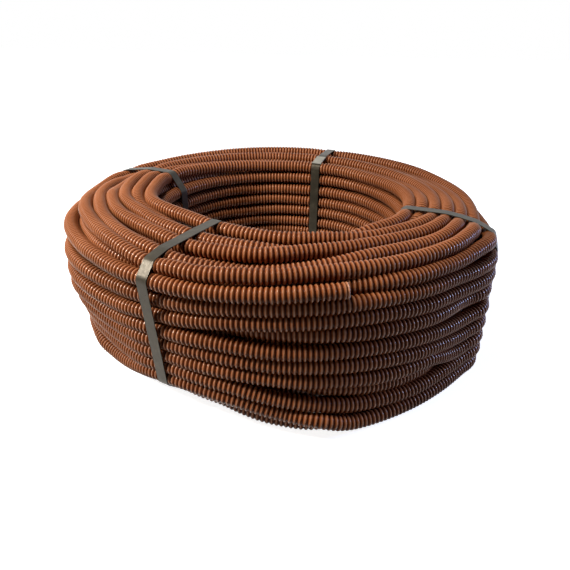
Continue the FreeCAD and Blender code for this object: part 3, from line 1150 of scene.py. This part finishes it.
def seal_piece(context, name, azimuth, spot):
    """A crimp seal folded round its strap, with three pairs of crimped notches."""
    strap = context.scene.strap_settings
    line = resampled(strap_line(context, azimuth), SEAL_LINE_STEP)
    nearest = min(range(len(line)), key=lambda k: (line[k] - Vector(spot)).length)
    half, length = strap.width / MM / 2, strap.seal_length / MM
    reach = round(length / 2 / SEAL_LINE_STEP)
    under = [line[(nearest + k) % len(line)] for k in range(-reach, reach + 1)]
    along = (under[-1] - under[0]).normalized()
    normal = Vector((along.y, -along.x))
    centre = sum(line, Vector((0, 0))) / len(line)
    if normal.dot(under[reach] - centre) < 0:
        normal = -normal
    middle = (under[0] + under[-1]) / 2
    middle += normal * max(normal.dot(point - middle) for point in under)
    inner = strap.thickness / MM + SEAL_LIFT
    top = inner + SEAL_METAL
    shoulder = top - SEAL_EDGE_DOWN
    bm = bmesh.new()
    rings = []
    for k in range(SEAL_STEPS + 1):
        at = (k / SEAL_STEPS - 0.5) * length
        notch = max(math.exp(-(((at - place) / NOTCH_WIDTH) ** 2)) for place in NOTCH_PLACES)
        wide = half + SEAL_SIDE_GAP + SEAL_METAL - NOTCH_DEPTH * notch
        narrow, crown = wide - SEAL_METAL, top + NOTCH_RISE * notch
        edge = wide - SEAL_EDGE_ACROSS
        section = [
            (-wide, SEAL_LIP), (-wide, shoulder), (-edge, top), (-half * 0.5, crown),
            (half * 0.5, crown), (edge, top), (wide, shoulder), (wide, SEAL_LIP),
            (narrow, SEAL_LIP), (narrow, inner), (-narrow, inner), (-narrow, SEAL_LIP),
        ]
        radius, height = middle.x + along.x * at, middle.y + along.y * at
        rings.append(section_ring(bm, azimuth, radius, height, normal, section))
    skin(bm, rings)
    bm.faces.new(rings[0])
    bm.faces.new(rings[-1])
    piece = mesh_piece("crimp_seal_" + name, bm, seal_steel())
    with_sharp_edges(piece)
    stands_for(piece, "seal", "seal_" + name)


class BuildSeals(bpy.types.Operator):
    """The crimp seal on each strap"""

    bl_idname = "conduit.seals"
    bl_label = "Seals"

    def execute(self, context):
        for name, azimuth in STRAPS.items():
            seal_piece(context, name, azimuth, SEAL_SPOTS[name])
        return {"FINISHED"}


def area_light(name, place, target, size, power, colour):
    data = bpy.data.lights.new(name, "AREA")
    data.shape, data.size, data.energy, data.color = "DISK", size, power, colour
    lamp = bpy.data.objects.new(name, data)
    bpy.context.collection.objects.link(lamp)
    lamp.location = place
    lamp.rotation_euler = (Vector(target) - Vector(place)).to_track_quat("-Z", "Y").to_euler()


def grey(level):
    return (level, level, level, 1.0)


def seen(tree):
    """1 for rays straight from the camera, off a gloss or through glass, and 0 for the rest."""
    ray = add(tree, "ShaderNodeLightPath").outputs
    bounced = maths(tree, "MAXIMUM", ray["Is Glossy Ray"], ray["Is Transmission Ray"])
    return maths(tree, "MAXIMUM", ray["Is Camera Ray"], bounced)


@made_once("pale floor")
def floor_material(tree, surface):
    """Pale matt floor, lifted to white where it is seen, and keeping its shadow near the coil."""
    shown = seen(tree)
    place = add(tree, "ShaderNodeTexCoord").outputs["Object"]
    away = add(tree, "ShaderNodeVectorMath", {"Vector": place})
    away.operation = "LENGTH"
    glow = mapped(tree, away.outputs["Value"], FLOOR_GLOW, 1.0, GLOW_NEAR, GLOW_FAR)
    fill_in(surface, {
        "Base Color": mixed(tree, shown, grey(FLOOR_LIGHTING), grey(FLOOR_SEEN)),
        "Roughness": 0.9,
        "Specular IOR Level": 0.1,
        "Emission Color": grey(1.0),
        "Emission Strength": maths(tree, "MULTIPLY", shown, glow),
    })


class BuildStage(bpy.types.Operator):
    """Floor, soft light, world and the photograph's camera"""

    bl_idname = "conduit.stage"
    bl_label = "Stage"

    def execute(self, context):
        stage = context.scene.stage_settings
        bm = bmesh.new()
        half = stage.floor_size / 2
        signs = ((-1, -1), (1, -1), (1, 1), (-1, 1))
        bm.faces.new([bm.verts.new((x * half, y * half, 0)) for x, y in signs])
        floor = mesh_piece("floor", bm, floor_material(), smooth=False)

        for name, (power, place, size, colour) in LAMPS.items():
            area_light(name, place, LAMP_TARGET, size, getattr(stage, power), colour)

        world = bpy.data.worlds.new("studio")
        context.scene.world = world
        world.use_nodes = True
        tree = world.node_tree
        fill_in(tree.nodes["Background"], {
            "Color": grey(1.0), "Strength": mapped(tree, seen(tree), WORLD_LIGHTING, 1.0),
        })

        camera_data = bpy.data.cameras.new("photograph")
        camera_data.sensor_width = SENSOR_WIDTH
        camera_data.lens = FOCAL_PIXELS / PHOTO_SIZE * SENSOR_WIDTH
        camera = bpy.data.objects.new("photograph", camera_data)
        context.collection.objects.link(camera)
        right = CAMERA_RIGHT.normalized()
        back = right.cross(-CAMERA_DOWN).normalized()
        up = back.cross(right)
        turn = Matrix((right, up, back)).transposed().to_4x4()
        camera.matrix_world = Matrix.Translation(CAMERA_PLACE) @ turn
        context.scene.camera = camera
        context.scene.view_settings.view_transform = "Standard"
        return {"FINISHED"}


class CoilPanel(bpy.types.Panel):
    """Lists the pieces of the coil"""

    bl_idname = "VIEW3D_PT_conduit_coil"
    bl_label = "Conduit coil"
    bl_space_type = "VIEW_3D"
    bl_region_type = "UI"
    bl_category = "Conduit coil"

    def draw(self, context):
        layout = self.layout
        for settings in ("conduit_settings", "strap_settings", "stage_settings"):
            group = getattr(context.scene, settings)
            box = layout.box()
            for name in group.__annotations__:
                box.prop(group, name)
        for operator in OPERATORS:
            layout.operator(operator.bl_idname)


SETTINGS = {
    "conduit_settings": ConduitSettings,
    "strap_settings": StrapSettings,
    "stage_settings": StageSettings,
}
OPERATORS = (
    BuildOuterTurns, BuildTopTurns, BuildBoreTurns, BuildUnderside, BuildCutEnd,
    BuildStraps, BuildSeals, BuildStage,
)


def register():
    for kind in (*SETTINGS.values(), *OPERATORS, CoilPanel):
        bpy.utils.register_class(kind)
    for name, kind in SETTINGS.items():
        setattr(bpy.types.Scene, name, bpy.props.PointerProperty(type=kind))


def unregister():
    for name in SETTINGS:
        delattr(bpy.types.Scene, name)
    for kind in reversed((*SETTINGS.values(), *OPERATORS, CoilPanel)):
        bpy.utils.unregister_class(kind)


def main():
    register()
    bpy.ops.conduit.outer_turns()
    bpy.ops.conduit.top_turns()
    bpy.ops.conduit.bore_turns()
    bpy.ops.conduit.underside()
    bpy.ops.conduit.cut_end()
    bpy.ops.conduit.straps()
    bpy.ops.conduit.seals()
    bpy.ops.conduit.stage()


if __name__ == "__main__":
    main()
